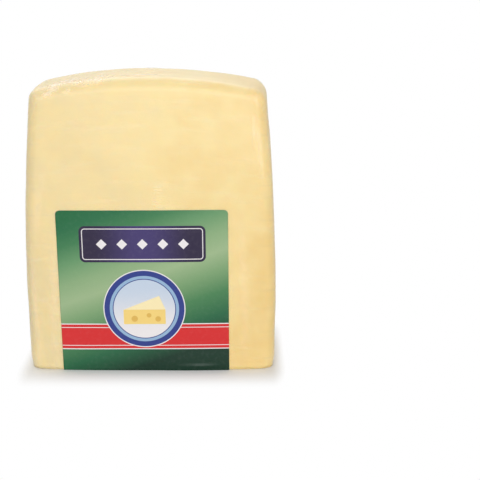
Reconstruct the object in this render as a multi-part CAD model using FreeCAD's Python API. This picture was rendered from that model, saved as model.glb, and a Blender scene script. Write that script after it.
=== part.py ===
"""A film-wrapped half loaf of cheddar with a printed label, standing on its cut face.

The loaf was pressed in a long mould, wrapped tight in clear film, labelled and cut across.
What is left is the end part: it stands on the flat cut, its moulded end is the arched top,
and the label, which the cut went through, runs from the cut up the front face.

Frame: millimetres, +Z up, front face towards -Y, origin under the middle of the whole part's box.
Nodes: cheese_block, the cheese out to its tight film, and label, the sticker on the front.
"""

import FreeCAD
import Part
import math
import os

from FreeCAD import Placement, Rotation, Vector

# The loaf
WIDTH = 150.4  # from side to side at SIDE_CROWN_HEIGHT, where the loaf is widest
HEIGHT = 176.5  # from the cut face to the crown of the moulded end
DEPTH = 65.0  # between the crowns of the front and back faces
SIDE_CROWN_HEIGHT = 30.0
LEFT_DRAW_IN = 8.7  # how far the left side, seen from the front, has drawn in at HEIGHT
RIGHT_DRAW_IN = 7.4
SIDE_CROWN = 1.2  # how far each side swells from front to back
END_ARCH = 9.4  # how far the end drops from its crown over half the loaf's width
END_CROWN = 1.8  # how far the end swells from front to back
FACE_CROWN = 1.7  # how far the front and back faces swell across the width
FACE_DRAW_IN = 2.2  # how far they have drawn in at HEIGHT
FACE_CROWN_HEIGHT = 45.0  # where they are furthest out

# The rounded edges of the moulded end and faces
LEFT_CORNER_RADIUS = 7.0
RIGHT_CORNER_RADIUS = 8.8
EDGE_RADIUS = 5.5

# The label
LABEL_WIDTH = 100.0
LABEL_HEIGHT = 99.8  # from the cut face to its top edge, along its middle
LABEL_THICKNESS = 0.2
LABEL_CORNER_RADIUS = 2.4
LABEL_OFFSET = -3.4  # its middle, right of the loaf's middle
LABEL_LEAN_DEG = 0.3  # it was stuck on turned this far, with its right end higher

PART_FOLDER = "parts"
BLANK_MARGIN = 4.0  # the blank stands out this far past each crown before it is cut to shape
CUTTER_REACH = 1.3  # each cutter is this many times as large as the face that it shapes


def arc(start, middle, end):
    """An edge of one circular arc through three points."""
    return Part.Arc(start, middle, end).toShape()


def radius_of_drop(distance, drop):
    """The radius of the circle that falls away by drop at distance from its top."""
    return (distance * distance + drop * drop) / (2 * drop)


def drop_at(radius, distance):
    """How far a circle of this radius has fallen away at distance from its top."""
    return radius - math.sqrt(radius * radius - distance * distance)


def hollow_cutter(across, across_drop, along, along_drop):
    """What lies outside one crowned face, as a solid to cut with.

    The face has its crown at the origin and faces -Y. An arc in the YZ plane drops by
    along_drop at along from the crown. It is turned about an axis parallel to Z, far behind
    it, so that the face drops by across_drop at across, along X.
    """
    along_radius = radius_of_drop(along, along_drop)
    turn_radius = radius_of_drop(across, across_drop)
    reach = along * CUTTER_REACH
    edge_y = drop_at(along_radius, reach)
    outer_y = -2 * (BLANK_MARGIN + across_drop + along_drop)
    low, high = Vector(0, edge_y, -reach), Vector(0, edge_y, reach)
    low_outer, high_outer = Vector(0, outer_y, -reach), Vector(0, outer_y, reach)
    profile = Part.Wire(
        [
            arc(low, Vector(0, 0, 0), high),
            Part.makeLine(high, high_outer),
            Part.makeLine(high_outer, low_outer),
            Part.makeLine(low_outer, low),
        ]
    )
    half_turn = math.degrees(math.asin(across * CUTTER_REACH / turn_radius))
    axis = (Vector(0, turn_radius, 0), Vector(0, 0, 1))
    start = Part.Face(profile).rotated(*axis, -half_turn)
    return start.revolve(*axis, 2 * half_turn)


def placed(cutter, crown, turn=0.0, tip=0.0):
    """A cutter tipped back about X by tip, turned about Z by turn, with its crown at a point."""
    rotation = Rotation(Vector(0, 0, 1), turn).multiply(Rotation(Vector(1, 0, 0), tip))
    return cutter.transformed(Placement(crown, rotation).toMatrix(), True)


def face_cutter(facing_back, growth=0.0):
    """The cutter of the front or back face, moved outwards by growth."""
    reach = HEIGHT - FACE_CROWN_HEIGHT
    cutter = hollow_cutter(WIDTH / 2, FACE_CROWN, reach, FACE_DRAW_IN)
    side = 1 if facing_back else -1
    crown = Vector(0, side * (DEPTH / 2 + growth), FACE_CROWN_HEIGHT)
    return placed(cutter, crown, turn=180.0 if facing_back else 0.0)


def side_cutter(right):
    """The cutter of the left or right side."""
    draw_in = RIGHT_DRAW_IN if right else LEFT_DRAW_IN
    reach = HEIGHT - SIDE_CROWN_HEIGHT
    cutter = hollow_cutter(DEPTH / 2, SIDE_CROWN, reach, draw_in)
    side = 1 if right else -1
    return placed(cutter, Vector(side * WIDTH / 2, 0, SIDE_CROWN_HEIGHT), turn=side * 90.0)


def end_cutter():
    """The cutter of the moulded end, arched from side to side and crowned from front to back."""
    cutter = hollow_cutter(WIDTH / 2, END_ARCH, DEPTH / 2, END_CROWN)
    return placed(cutter, Vector(0, 0, HEIGHT), tip=-90.0)


def nearest_edge(solid, point):
    """The edge of a solid that passes nearest to a point."""
    vertex = Part.Vertex(point)
    return min(solid.Edges, key=lambda edge: edge.distToShape(vertex)[0])


def rounded_blank():
    """The loaf's outline seen from the front, still too deep, with the end's corners rounded."""
    blank = Part.makeBox(
        WIDTH + 2 * BLANK_MARGIN,
        DEPTH + 2 * BLANK_MARGIN,
        HEIGHT + BLANK_MARGIN,
        Vector(-WIDTH / 2 - BLANK_MARGIN, -DEPTH / 2 - BLANK_MARGIN, 0),
    )
    blank = blank.cut(side_cutter(False)).cut(side_cutter(True)).cut(end_cutter()).Solids[0]
    for side, draw_in, radius in (
        (-1, LEFT_DRAW_IN, LEFT_CORNER_RADIUS),
        (1, RIGHT_DRAW_IN, RIGHT_CORNER_RADIUS),
    ):
        corner = Vector(side * (WIDTH / 2 - draw_in), 0, HEIGHT - END_ARCH)
        blank = blank.makeFillet(radius, [nearest_edge(blank, corner)])
    return blank


def outline_edges(block):
    """The edges round the front and back faces, apart from those along the cut."""
    found = []
    for edge in block.Edges:
        middle = edge.valueAt((edge.FirstParameter + edge.LastParameter) / 2)
        if abs(middle.y) > DEPTH / 4 and middle.z > BLANK_MARGIN:
            found.append(edge)
    return found


def loaf(front_growth=0.0):
    """The whole half loaf; front_growth moves its front face forward."""
    block = rounded_blank().cut(face_cutter(False, front_growth)).cut(face_cutter(True)).Solids[0]
    return block.makeFillet(EDGE_RADIUS, outline_edges(block))


def label_outline():
    """The label's outline seen from the front: two rounded top corners, cut off at the bottom."""
    half, radius = LABEL_WIDTH / 2, LABEL_CORNER_RADIUS
    corner = radius * (1 - math.sqrt(0.5))
    # It starts below the cut, so that its lean leaves no gap there.
    foot = -LABEL_WIDTH / 4
    top = LABEL_HEIGHT
    return Part.Wire(
        [
            Part.makeLine(Vector(-half, 0, foot), Vector(half, 0, foot)),
            Part.makeLine(Vector(half, 0, foot), Vector(half, 0, top - radius)),
            arc(
                Vector(half, 0, top - radius),
                Vector(half - corner, 0, top - corner),
                Vector(half - radius, 0, top),
            ),
            Part.makeLine(Vector(half - radius, 0, top), Vector(radius - half, 0, top)),
            arc(
                Vector(radius - half, 0, top),
                Vector(corner - half, 0, top - corner),
                Vector(-half, 0, top - radius),
            ),
            Part.makeLine(Vector(-half, 0, top - radius), Vector(-half, 0, foot)),
        ]
    )


def label(cheese):
    """The label: what lies inside its outline between the front face and that face moved out."""
    outline = Part.Face(label_outline())
    outline.rotate(Vector(0, 0, 0), Vector(0, 1, 0), -LABEL_LEAN_DEG)
    outline.translate(Vector(LABEL_OFFSET, -DEPTH, 0))
    column = outline.extrude(Vector(0, DEPTH, 0))
    grown = loaf(front_growth=LABEL_THICKNESS)
    return column.common(grown).cut(cheese).Solids[0]


def export(shapes):
    """Centres the whole part over the origin and writes each node as STEP."""
    box = FreeCAD.BoundBox()
    for shape in shapes.values():
        box.add(shape.optimalBoundingBox(False))
    shift = Vector(-box.Center.x, -box.Center.y, -box.ZMin)
    os.makedirs(PART_FOLDER, exist_ok=True)
    for name, shape in shapes.items():
        shape.translated(shift).exportStep(f"{PART_FOLDER}/{name}.step")


def main():
    """Builds the cheese and its label and writes them."""
    cheese = loaf()
    export({"cheese_block": cheese, "label": label(cheese)})


main()
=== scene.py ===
"""The looks of a half loaf of cheddar in tight clear film, with a printed label on its front.

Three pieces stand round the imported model: the cheese, the clear film shrunk onto it, and the
label stuck on the film. Sizes are in metres, and MM turns millimetres into metres. The loaf
stands on its cut face at z = 0 with its front towards -Y.
"""

import logging
import math
from dataclasses import dataclass
from enum import Enum

import bpy
import numpy as np
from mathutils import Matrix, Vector


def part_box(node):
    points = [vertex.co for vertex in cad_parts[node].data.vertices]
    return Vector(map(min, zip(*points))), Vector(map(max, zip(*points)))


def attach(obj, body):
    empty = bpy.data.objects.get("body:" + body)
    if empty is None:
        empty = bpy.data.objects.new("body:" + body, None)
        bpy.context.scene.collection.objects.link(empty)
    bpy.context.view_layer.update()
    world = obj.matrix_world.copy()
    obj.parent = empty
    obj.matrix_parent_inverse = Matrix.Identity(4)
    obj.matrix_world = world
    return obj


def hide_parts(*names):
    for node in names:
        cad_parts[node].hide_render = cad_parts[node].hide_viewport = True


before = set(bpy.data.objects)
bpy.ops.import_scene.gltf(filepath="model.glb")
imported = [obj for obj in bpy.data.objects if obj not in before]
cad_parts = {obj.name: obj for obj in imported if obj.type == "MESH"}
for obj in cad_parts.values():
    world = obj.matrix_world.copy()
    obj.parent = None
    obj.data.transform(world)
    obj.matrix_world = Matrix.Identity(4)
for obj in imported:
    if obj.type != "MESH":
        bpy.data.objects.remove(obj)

Array = np.ndarray
Colour = tuple[float, float, float, float]
Socket = bpy.types.NodeSocket
MM = 0.001
BODY = "root"
LOG = logging.getLogger("cheddar_block")


# ---------------------------------------------------------------- shapes and grids


def tint(red: int, green: int, blue: int) -> Colour:
    """Turns a screen colour into the linear one that shaders take.

    Args:
        red: Red from 0 to 255.
        green: Green from 0 to 255.
        blue: Blue from 0 to 255.

    Returns:
        Linear red, green and blue with an alpha of 1.
    """
    screen = np.array([red, green, blue]) / 255
    linear = np.where(screen <= 0.04045, screen / 12.92, ((screen + 0.055) / 1.055) ** 2.4)
    return (float(linear[0]), float(linear[1]), float(linear[2]), 1.0)


def smooth_step(values: Array, start: float, end: float) -> Array:
    """Rises from 0 at start to 1 at end, level at both: 3t^2 - 2t^3 of the share passed.

    Args:
        values: Where to work it out.
        start: Where the rise begins.
        end: Where the rise is complete.

    Returns:
        A share from 0 to 1 for each value.
    """
    share = np.clip((values - start) / (end - start), 0, 1)
    return share * share * (3 - 2 * share)


@dataclass(frozen=True)
class FineStretch:
    """A stretch of a line that needs closer points than the rest of it."""

    start: float
    end: float
    spacing: float


def spaced(start: float, end: float, spacing: float, fine: tuple[FineStretch, ...] = ()) -> Array:
    """Places points along a line, closer together in its fine stretches.

    The wanted number of points per metre is summed along the line, and equal steps of that
    running sum give the points.

    Args:
        start: Where the line begins.
        end: Where it ends.
        spacing: The usual distance between points.
        fine: The stretches with closer points.

    Returns:
        Rising positions, with start and end among them.
    """
    line = np.linspace(start, end, 4001)
    density = np.full_like(line, 1 / spacing)
    for stretch in fine:
        inside = (line >= stretch.start) & (line <= stretch.end)
        density = np.where(inside, np.maximum(density, 1 / stretch.spacing), density)
    steps = (density[1:] + density[:-1]) / 2 * np.diff(line)
    total = np.concatenate([[0.0], np.cumsum(steps)])
    count = max(2, math.ceil(total[-1]) + 1)
    return np.interp(np.linspace(0, total[-1], count), total, line)


def both_rounded(first: Array, second: Array, radius: float | Array) -> Array:
    """How far points stand outside two faces that meet in a rounded edge.

    Both distances are raised by the radius. Where both are then positive, the length of the
    pair, less the radius, is the distance to the rounding; elsewhere the larger one counts.

    Args:
        first: Distance outside the first face.
        second: Distance outside the second face.
        radius: The edge's radius.

    Returns:
        The distance outside the joined shape, negative inside it.
    """
    over_first, over_second = first + radius, second + radius
    inside = np.minimum(np.maximum(over_first, over_second), 0)
    return inside + np.hypot(np.maximum(over_first, 0), np.maximum(over_second, 0)) - radius


@dataclass(frozen=True)
class Swell:
    """Gentle unevenness: the sum of plane waves that run in random directions."""

    wavelength: float
    height: float
    seed: int
    waves: int = 14

    def at(self, points: Array) -> Array:
        """Works out the swell at points.

        Args:
            points: Positions, with x, y and z last.

        Returns:
            How far each point stands out, about zero on the whole.
        """
        random = np.random.default_rng(self.seed)
        directions = random.normal(size=(self.waves, 3))
        directions /= np.linalg.norm(directions, axis=1, keepdims=True)
        stretch = random.uniform(0.7, 1.5, self.waves)
        phases = random.uniform(0, 2 * np.pi, self.waves)
        turns = points @ (directions * (2 * np.pi / (self.wavelength * stretch))[:, None]).T
        return np.cos(turns + phases).sum(-1) * self.height / math.sqrt(self.waves / 2)


@dataclass(frozen=True)
class LoafForm:
    """The loaf's outer form: five gently crowned faces with rounded edges, and the flat cut.

    Each corner and edge size is the distance from the meeting line at which its rounding starts.
    The foot is tucked in at the sides: the tuck comes in between two shares of the half width,
    and fades upwards over the foot's height, by a power of what is left of it.
    """

    width: float
    depth: float
    height: float
    middle_y: float
    side_crown_height: float = 30 * MM
    left_draw_in: float = 8.7 * MM
    right_draw_in: float = 7.4 * MM
    side_crown: float = 1.2 * MM
    end_arch: float = 9.4 * MM
    end_crown: float = 1.8 * MM
    face_crown: float = 1.7 * MM
    face_draw_in: float = 2.2 * MM
    face_crown_height: float = 45 * MM
    left_corner: float = 4.8 * MM
    right_corner: float = 6.2 * MM
    edge: float = 6.6 * MM
    unevenness: tuple[Swell, ...] = (
        Swell(wavelength=70 * MM, height=0.14 * MM, seed=3),
        Swell(wavelength=24 * MM, height=0.06 * MM, seed=8),
    )
    foot_tuck: float = 0.95 * MM
    foot_height: float = 9.0 * MM
    tuck_from: float = 0.80
    tuck_full: float = 0.97
    tuck_power: float = 1.6

    @classmethod
    def from_frame(cls) -> "LoafForm":
        """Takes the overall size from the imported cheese.

        Returns:
            The form at that size.
        """
        low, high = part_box("cheese_block")
        size = high - low
        return cls(width=size.x, depth=size.y, height=size.z, middle_y=(low.y + high.y) / 2)

    def face_depth(self, x: Array, z: Array) -> Array:
        """How far the front or back face stands from the loaf's middle plane.

        It is half the depth, less the crown's fall with the square of the distance across,
        less the draw-in with the square of the distance up.

        Args:
            x: Places across the loaf.
            z: Heights.

        Returns:
            Distances from the middle plane.
        """
        up = (z - self.face_crown_height) / (self.height - self.face_crown_height)
        across = x / (self.width / 2)
        return self.depth / 2 - self.face_crown * across**2 - self.face_draw_in * up**2

    def side_reach(self, x: Array, y: Array, z: Array) -> Array:
        """How far the side that x points to stands from the middle, falling off like a face.

        Args:
            x: Places across the loaf, of which only the sign counts.
            y: Distances from the middle plane.
            z: Heights.

        Returns:
            Distances from the loaf's middle.
        """
        draw_in = np.where(x < 0, self.left_draw_in, self.right_draw_in)
        up = (z - self.side_crown_height) / (self.height - self.side_crown_height)
        return self.width / 2 - draw_in * up**2 - self.side_crown * (y / (self.depth / 2)) ** 2

    def end_height(self, x: Array, y: Array) -> Array:
        """How high the moulded end stands, falling with the squares of x and y.

        Args:
            x: Places across the loaf.
            y: Distances from the middle plane.

        Returns:
            Heights.
        """
        arch = self.end_arch * (x / (self.width / 2)) ** 2
        return self.height - arch - self.end_crown * (y / (self.depth / 2)) ** 2

    def outside(self, points: Array) -> Array:
        """How far points stand outside the loaf, apart from its cut.

        The sides and the end meet first, with the end's corner radii, and that shape then
        meets the front and back with the edge radius.

        Args:
            points: Positions, with x, y and z last.

        Returns:
            Distances, negative inside.
        """
        x, y, z = points[..., 0], points[..., 1] - self.middle_y, points[..., 2]
        sides = np.abs(x) - self.side_reach(x, y, z)
        end = z - self.end_height(x, y)
        corner = np.where(x < 0, self.left_corner, self.right_corner)
        faces = np.abs(y) - self.face_depth(x, z)
        return both_rounded(both_rounded(sides, end, corner), faces, self.edge)

    def normals(self, points: Array) -> Array:
        """Outward directions: the slope of outside() along each axis, brought to unit length.

        Args:
            points: Positions, with x, y and z last.

        Returns:
            Directions, in the same layout.
        """
        nudge = 0.02 * MM
        slope = np.stack(
            [
                self.outside(points + step) - self.outside(points - step)
                for step in nudge * np.eye(3)
            ],
            axis=-1,
        )
        return slope / np.maximum(np.linalg.norm(slope, axis=-1, keepdims=True), 1e-9)

    def settled(self, points: Array, level: Array) -> Array:
        """Moves points onto the form, each round by their distance against the slope there.

        Args:
            points: Positions near the form.
            level: True for the points that keep their height.

        Returns:
            Positions on the form.
        """
        rounds, least_slope = 10, 0.2
        for _ in range(rounds):
            normals = self.normals(points)
            normals[..., 2] = np.where(level, 0, normals[..., 2])
            length = np.maximum((normals**2).sum(-1, keepdims=True), least_slope)
            points = points - self.outside(points)[..., None] * normals / length
        return points

    def relief(self, points: Array) -> Array:
        """How far the uneven cheese stands out, with its foot tucked in at the sides.

        Args:
            points: Positions, with x, y and z last.

        Returns:
            The sum of the swells, less the tuck.
        """
        swell = sum(wave.at(points) for wave in self.unevenness)
        half = self.width / 2
        beside = smooth_step(np.abs(points[..., 0]), self.tuck_from * half, self.tuck_full * half)
        tuck = 1 - smooth_step(points[..., 2], 0, self.foot_height)
        return swell - self.foot_tuck * beside * tuck**self.tuck_power


@dataclass(frozen=True)
class Skin:
    """A grid laid over the loaf: rows of closed rings, each with the same columns.

    chart_around is the distance round the outline from the middle of the front, positive to
    the right. chart_along is the distance up the wall and on over the end, row by row.
    """

    points: Array
    normals: Array
    chart_around: Array
    chart_along: Array
    girth: float

    def displaced(self, out: Array) -> Array:
        """The grid's points, moved outwards by the distances in out."""
        return self.points + self.normals * out[..., None]

    def charts(self) -> tuple[Array, Array]:
        """The two chart distances, each spread over the whole grid."""
        return np.meshgrid(self.chart_around, self.chart_along)


@dataclass(frozen=True)
class SkinMaker:
    """Lays a skin over the loaf's form.

    The plan outline is a core rectangle with a radius added round it. Drawn in by an inset,
    the core shrinks and the radius with it, down to a narrow gap along the middle. A profile
    carried round the outline goes up the wall, over the edge's quarter circle and inwards.
    last_gap is half the width of the last ring, which a lid closes, and pointing is the share
    by which the ends of that ring bow out.
    """

    form: LoafForm
    spacing: float
    fine_around: tuple[FineStretch, ...] = ()
    fine_along: tuple[FineStretch, ...] = ()
    back_spacing: float = 3.5 * MM
    corner_columns: int = 8
    edge_rows: int = 9
    cut_rows: int = 21
    ridge_spacing: float = 0.8 * MM
    inward_spacing: float = 2 * MM
    closed_cut: bool = False
    cut_edge: float = 0.5 * MM
    last_gap: float = 1.0 * MM
    pointing: float = 0.10

    def outline(self) -> tuple[Array, Array, Array]:
        """The plan outline, from the middle of the back, past the left side and the front.

        Returns:
            Core points and outward directions, both as x and y, and the distance round.
        """
        radius = self.form.edge
        a, b = self.form.width / 2 - radius, self.form.depth / 2 - radius
        front = spaced(-a, a, self.spacing, self.fine_around)
        back = spaced(0, a, self.back_spacing)
        rising = spaced(0, b, self.back_spacing)
        side = np.concatenate([-rising[::-1], rising[1:]])
        turn = np.linspace(0, np.pi / 2, self.corner_columns + 1)
        cores, outs = [], []

        def straight(x: Array, y: Array, out: tuple[float, float]) -> None:
            """Adds a straight stretch, without its last point."""
            cores.append(np.stack(np.broadcast_arrays(x, y), -1)[:-1])
            outs.append(np.broadcast_to(out, (len(cores[-1]), 2)))

        def corner(x: float, y: float, start: float) -> None:
            """Adds a quarter circle, without its last point, beginning at angle start."""
            cores.append(np.broadcast_to((x, y), (self.corner_columns, 2)))
            outs.append(np.stack([np.cos(start + turn), np.sin(start + turn)], -1)[:-1])

        straight(-back, b, (0, 1))
        corner(-a, b, np.pi / 2)
        straight(-a, -side, (-1, 0))
        corner(-a, -b, np.pi)
        straight(front, -b, (0, -1))
        corner(a, -b, 1.5 * np.pi)
        straight(a, side, (1, 0))
        corner(a, b, 0)
        straight(back[::-1], b, (0, 1))
        core, out = np.concatenate(cores), np.concatenate(outs)
        ring = core + radius * out
        steps = np.linalg.norm(np.roll(ring, -1, axis=0) - ring, axis=1)
        return core, out, np.concatenate([[0.0], np.cumsum(steps)])

    def roundings(self, out: Array) -> Array:
        """Each column's own rounding radius: the edge's, grown to the corner's at the sides."""
        corner = np.where(out[:, 0] < 0, self.form.left_corner, self.form.right_corner)
        return self.form.edge + (corner - self.form.edge) * out[:, 0] ** 2

    def profile(self) -> tuple[Array, Array]:
        """The profile carried round: a wall, a quarter circle and a run inwards to the middle.

        Returns:
            Four numbers for each row, and the distance along, row by row. The four are the share
            of the wall below the rounding, the sine of the turn through it, one less its cosine,
            and the share passed of the run inwards.
        """
        edge = self.form.edge
        wall = self.form.height - edge
        run = self.form.depth / 2 - edge - self.last_gap
        up = spaced(0, wall, self.back_spacing, self.fine_along)
        turn = np.linspace(0, np.pi / 2, self.edge_rows + 1)[1:]
        ridge = FineStretch(0, 1.5 * edge, self.ridge_spacing)
        inward = spaced(0, run, self.inward_spacing, (ridge,))[1:]
        level, past = np.zeros_like(up), np.ones_like(inward)
        rows = np.stack(
            [
                np.concatenate([up / wall, turn * 0 + 1, past]),
                np.concatenate([level, np.sin(turn), past]),
                np.concatenate([level, 1 - np.cos(turn), past]),
                np.concatenate([level, turn * 0, inward / run]),
            ],
            axis=-1,
        )
        over = wall + edge * np.pi / 2
        return rows, np.concatenate([up, wall + edge * turn, over + inward])

    def plan(self, core: Array, out: Array, rows: Array, a: Array, b: Array) -> Array:
        """The outline drawn in: the core shrinks with the room left, and so does the radius.

        On the run inwards the two short sides bow out, so that the last ring has pointed ends.

        Args:
            core: The full outline's core points.
            out: Its outward directions.
            rows: The profile's four numbers for each row.
            a: The half width at each point.
            b: The half depth at each point.

        Returns:
            Points as x and y, measured from the loaf's middle.
        """
        edge, form = self.form.edge, self.form
        bend, passed = rows[:, 2:3], rows[:, 3:4]
        rounding = self.roundings(out)
        inset = bend * rounding + passed * (b - self.last_gap - rounding)
        radius = edge * (1 - inset / b)
        full = np.array([form.width / 2, form.depth / 2]) - edge
        room = np.stack([a - inset - radius, b - inset - radius], -1)
        bow = np.abs(out[:, 0]) * (1 - (core[:, 1] / full[1]) ** 2)
        room[..., 0] *= 1 + self.pointing * passed * bow
        return core / full * room + radius[..., None] * out

    def make(self) -> Skin:
        """Works out the grid, settles it on the form and adds the cheese's unevenness.

        Returns:
            The skin, whose first row is the foot, or the middle of the cut if that is closed.
        """
        core, out, around = self.outline()
        form = self.form
        rounding = self.roundings(out)
        rows, along = self.profile()
        full = np.ones((len(rows), len(core)))
        plan = self.plan(core, out, rows, full * form.width / 2, full * form.depth / 2)
        rounds = 4
        for _ in range(rounds):
            x, y = plan[..., 0], plan[..., 1]
            height = rows[:, :1] * (form.end_height(x, y) - rounding) + rows[:, 1:2] * rounding
            half_width, half_depth = form.side_reach(x, y, height), form.face_depth(x, height)
            plan = self.plan(core, out, rows, half_width, half_depth)
        points = np.concatenate([plan, height[..., None]], -1)
        points[..., 1] += form.middle_y
        level = np.broadcast_to(rows[:, 1:2] == 0, height.shape)
        points = form.settled(points, level)
        normals = form.normals(points)
        points = points + normals * form.relief(points)[..., None]
        points[0, :, 2] = 0
        if self.closed_cut:
            return self.with_cut(points, normals, around, along)
        return Skin(points, normals, around[:-1] - around[-1] / 2, along, around[-1])

    def with_cut(self, points: Array, normals: Array, around: Array, along: Array) -> Skin:
        """Adds the flat cut and its slightly rounded edge below the wall.

        The foot ring is drawn towards the middle of its own plan, in equal shares, and the
        ring next to the wall is raised by the edge's radius.

        Args:
            points: The wall's and the end's points.
            normals: Their outward directions.
            around: The distance round the outline at each column.
            along: The distance along the profile at each row.

        Returns:
            The skin with the cut's rows before the wall's, at negative distances along.
        """
        shares = np.linspace(0, 1, self.cut_rows + 1)[:-1]
        foot = points[0]
        middle = np.array([0.0, self.form.middle_y, 0.0])
        line = foot - middle
        narrow = 1 - self.form.depth / self.form.width
        centre = middle + line * np.array([narrow, self.last_gap / self.form.depth, 0.0])
        reach = shares * (1 - self.cut_edge / self.form.depth)
        inner = centre + (foot - centre) * reach[:, None, None]
        raised = points.copy()
        raised[0, :, 2] = self.cut_edge
        down = np.broadcast_to((0.0, 0.0, -1.0), inner.shape)
        gap = self.form.depth / 2 * (1 - shares)
        return Skin(
            np.concatenate([inner, raised]),
            np.concatenate([down, normals]),
            around[:-1] - around[-1] / 2,
            np.concatenate([-gap - self.cut_edge, along]),
            around[-1],
        )


# ---------------------------------------------------------------- meshes


def grid_faces(rows: int, columns: int, closed: bool) -> Array:
    """Four corner numbers for each cell of a grid, going round so that faces look outwards.

    Args:
        rows: Rows of points.
        columns: Points in a row.
        closed: True if each row is a ring.

    Returns:
        An array of cells by four.
    """
    across = columns if closed else columns - 1
    row, column = np.meshgrid(np.arange(rows - 1), np.arange(across), indexing="ij")
    after = (column + 1) % columns
    corners = [row * columns + column, row * columns + after]
    corners += [(row + 1) * columns + after, (row + 1) * columns + column]
    return np.stack(corners, -1).reshape(-1, 4)


def add_piece(name: str, points: Array, faces: list[list[int]], uv: Array) -> bpy.types.Object:
    """Makes a smooth mesh object at the origin.

    Args:
        name: The piece's name.
        points: Vertex positions, one row each.
        faces: Corner numbers of each face.
        uv: Two values for each corner of each face, in order.

    Returns:
        The linked object.
    """
    mesh = bpy.data.meshes.new(name)
    mesh.from_pydata(points.reshape(-1, 3).tolist(), [], faces)
    layer = mesh.uv_layers.new(name="chart")
    layer.data.foreach_set("uv", uv.astype(np.float32).ravel())
    mesh.polygons.foreach_set("use_smooth", np.ones(len(mesh.polygons), bool))
    mesh.update()
    piece = bpy.data.objects.new(name, mesh)
    bpy.context.scene.collection.objects.link(piece)
    return piece


def add_values(piece: bpy.types.Object, name: str, values: Array) -> None:
    """Stores one number for each vertex as an attribute that materials read."""
    attribute = piece.data.attributes.new(name, "FLOAT", "POINT")
    attribute.data.foreach_set("value", values.astype(np.float32).ravel())


def thicken(piece: bpy.types.Object, thickness: float) -> bpy.types.SolidifyModifier:
    """Gives a sheet its thickness, outwards.

    Args:
        piece: The sheet.
        thickness: How thick it gets.

    Returns:
        The modifier.
    """
    wall = piece.modifiers.new("thickness", "SOLIDIFY")
    wall.thickness = thickness
    wall.offset = 1.0
    return wall


def zipped(around: Array, girth: float) -> Array:
    """Triangles that close a long flat ring by zipping its two long sides together.

    The ring is cut at the quarters of its girth into a front and a back chain. An edge of one
    chain is joined to the point of the other that is as far on: the one that as many edges lead
    up to as have their middles before it.

    Args:
        around: The distance round at each point, from minus half the girth.
        girth: The whole way round.

    Returns:
        Column numbers, three for each triangle, going round as the ring does.
    """
    start = int(np.argmin(np.abs(around + girth / 4)))
    stop = int(np.argmin(np.abs(around - girth / 4)))
    front = np.arange(start, stop + 1)
    back = (start - np.arange(len(around) - (stop - start) + 1)) % len(around)
    front_way = (around[front] - around[start]) / (around[stop] - around[start])
    back_way = (around[start] - around[back]) % girth
    back_way /= back_way[-1]
    front_middle = (front_way[1:] + front_way[:-1]) / 2
    back_middle = (back_way[1:] + back_way[:-1]) / 2
    across = back[np.searchsorted(back_middle, front_middle)]
    facing = front[np.searchsorted(front_middle, back_middle, side="right")]
    lower = np.stack([front[:-1], front[1:], across], -1)
    upper = np.stack([back[1:], back[:-1], facing], -1)
    triangles = np.concatenate([lower, upper])
    thin = (np.diff(np.sort(triangles, axis=1), axis=1) == 0).any(axis=1)
    return triangles[~thin]


def skin_piece(name: str, skin: Skin, points: Array, closed_foot: bool) -> bpy.types.Object:
    """Makes a piece from a skin, with a lid over the last ring and one over the first if asked.

    Args:
        name: The piece's name.
        skin: The grid whose chart gives the UV map.
        points: The grid's final points.
        closed_foot: True to close the first ring too.

    Returns:
        The piece.
    """
    rows, columns = points.shape[:2]
    cells = grid_faces(rows, columns, closed=True)
    left = skin.chart_around
    right = np.append(left[1:], left[0] + skin.girth)
    low, high = skin.chart_along[:-1], skin.chart_along[1:]
    shape = (rows - 1, columns)
    u = np.stack([np.broadcast_to(v, shape) for v in (left, right, right, left)], -1)
    v = np.stack([np.broadcast_to(w[:, None], shape) for w in (low, low, high, high)], -1)
    uv = [np.stack([u, v], -1).reshape(-1, 2)]
    faces = cells.tolist()
    lids = [(rows - 1, 1)] + ([(0, -1)] if closed_foot else [])
    for row, way in lids:
        lid = zipped(left, skin.girth)[:, ::way]
        faces += (row * columns + lid).tolist()
        uv.append(np.stack([left[lid.ravel()], np.full(lid.size, skin.chart_along[row])], -1))
    return add_piece(name, points, faces, np.concatenate(uv))


# ---------------------------------------------------------------- shader nodes


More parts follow.
